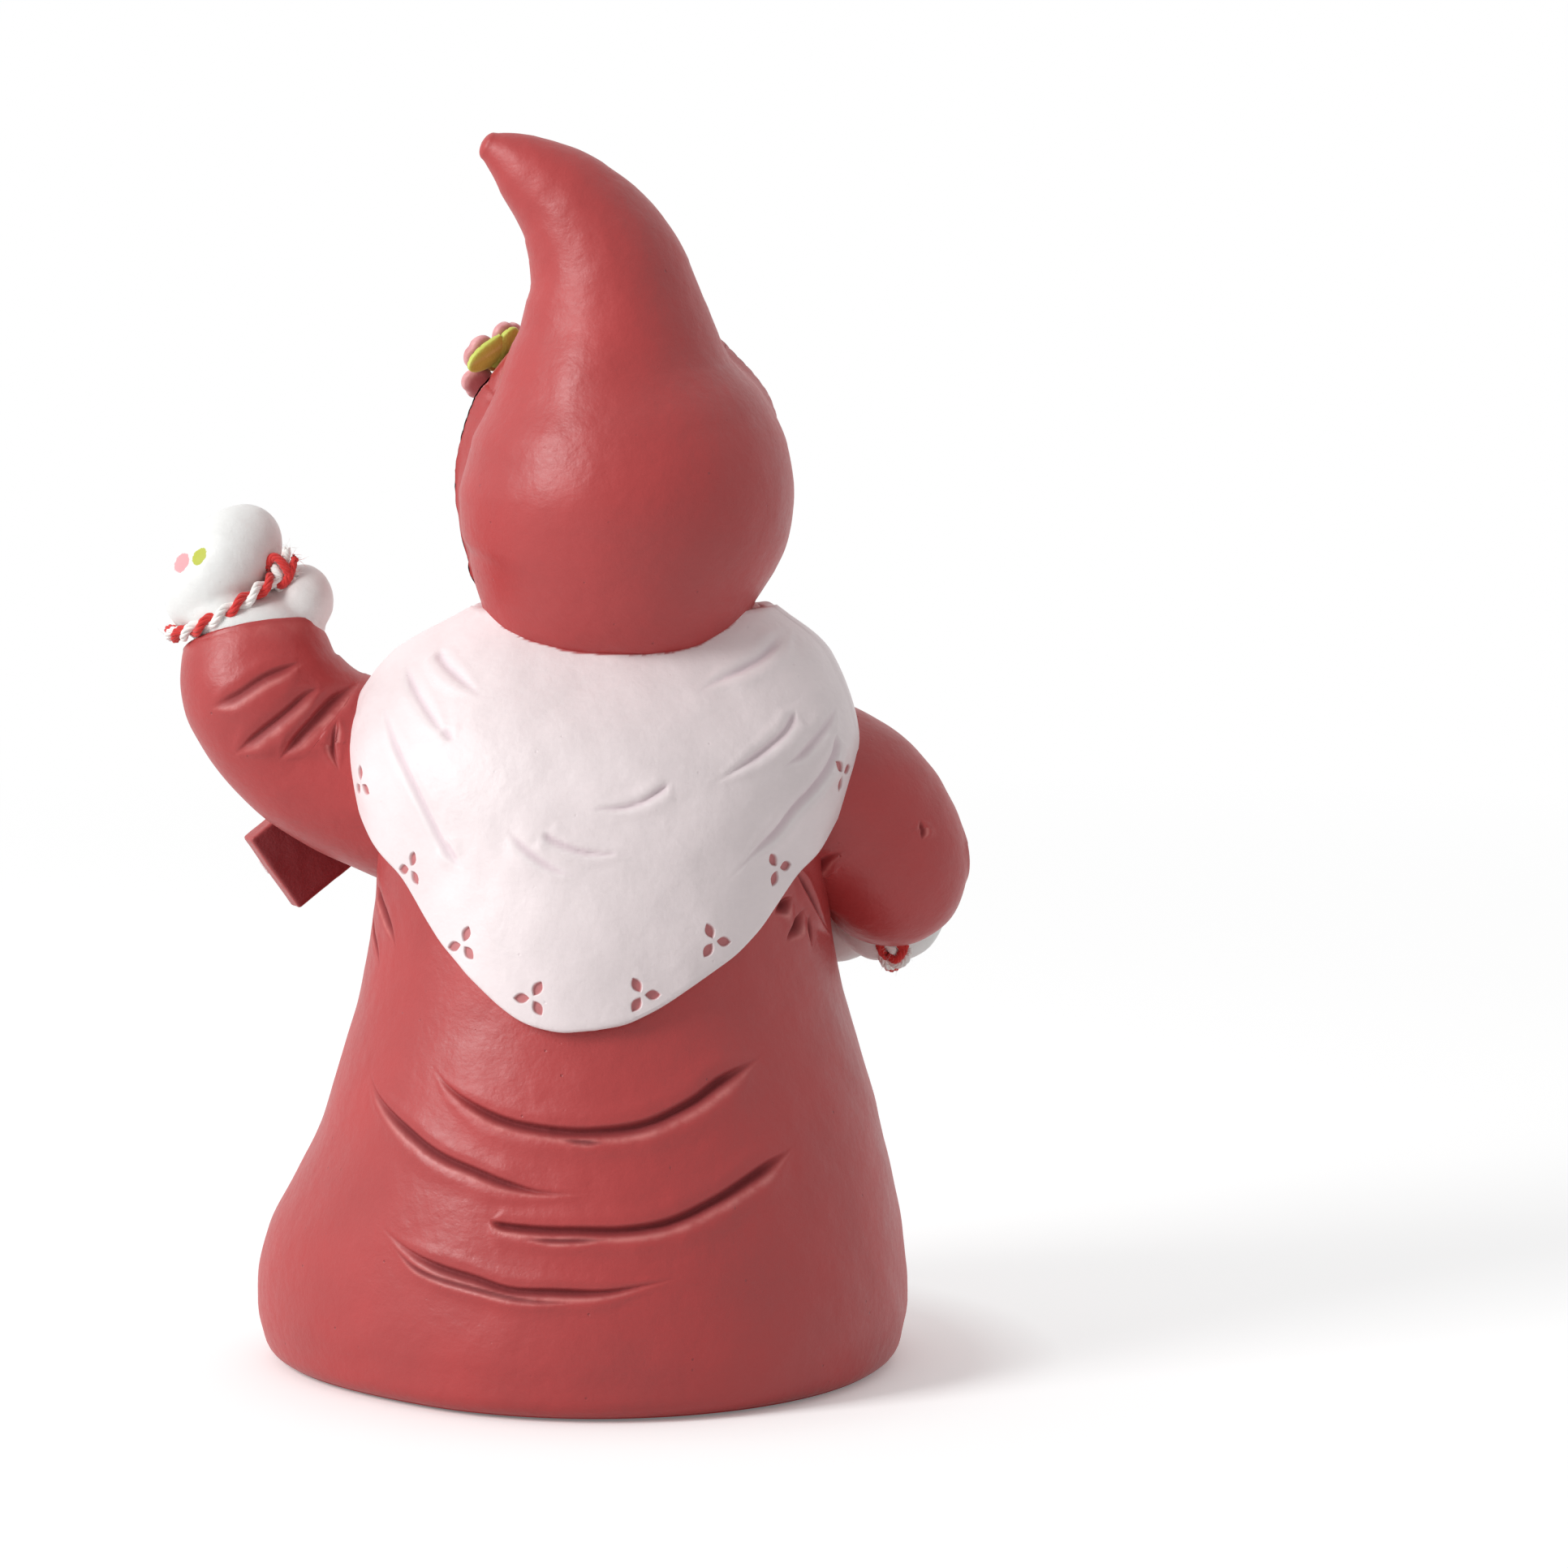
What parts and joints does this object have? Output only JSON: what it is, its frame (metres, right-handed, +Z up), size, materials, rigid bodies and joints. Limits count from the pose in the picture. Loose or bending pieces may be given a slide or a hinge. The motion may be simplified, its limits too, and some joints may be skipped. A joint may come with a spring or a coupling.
{
  "type": "tomte figure",
  "caption": "Standing tomte figure in a bell-shaped robe with shawl and bent hood, one arm raised, with a flower on the hood and a flat parcel under the arm.",
  "frame": {"origin": "middle of the felt foot's underside, on the surface that the figure stands on", "axes": "+Z up, the figure faces -Y, its raised left arm is on +X"},
  "size_m": [0.1306, 0.102, 0.1998],
  "materials": {
    "red_paint": "satin hand-painted cast resin, dusty brick red",
    "shawl_paint": "satin hand-painted cast resin, pale pink white",
    "white_paint": "satin hand-painted cast resin, warm white",
    "skin_paint": "satin hand-painted cast resin, skin tone with pink cheeks",
    "hair_paint": "satin hand-painted cast resin, pale grey blond",
    "petal_paint": "satin hand-painted cast resin, dusty pink",
    "leaf_paint": "satin hand-painted cast resin, lime green",
    "yellow_paint": "satin hand-painted cast resin, pale yellow",
    "parcel_paint": "satin hand-painted cast resin, dark wine red",
    "cotton_cord": "twisted cotton cord, one red ply and one white ply",
    "felt": "pressed wool felt",
    "bare_resin": "unpainted cast resin",
    "dowel_wood": "plain beech dowel"
  },
  "bodies": {
    "root": {"robe": "red_paint", "base_plate": "bare_resin", "felt_pad": "felt", "shawl": "shawl_paint", "neck_dowel": "dowel_wood", "head": "skin_paint", "hair": "hair_paint", "hood": "red_paint", "hood_brim": "red_paint", "flower": "petal_paint", "flower_centre": "yellow_paint", "flower_leaf_lower": "leaf_paint", "flower_leaf_upper": "leaf_paint", "left_sleeve": "red_paint", "left_mitten": "white_paint", "left_wrist_cord": "cotton_cord", "left_arm_dowel": "dowel_wood", "right_sleeve": "red_paint", "right_mitten": "white_paint", "right_wrist_cord": "cotton_cord", "right_arm_dowel": "dowel_wood", "parcel": "parcel_paint", "parcel_ribbon": "shawl_paint", "parcel_bow": "shawl_paint"}
  },
  "joints": []
}
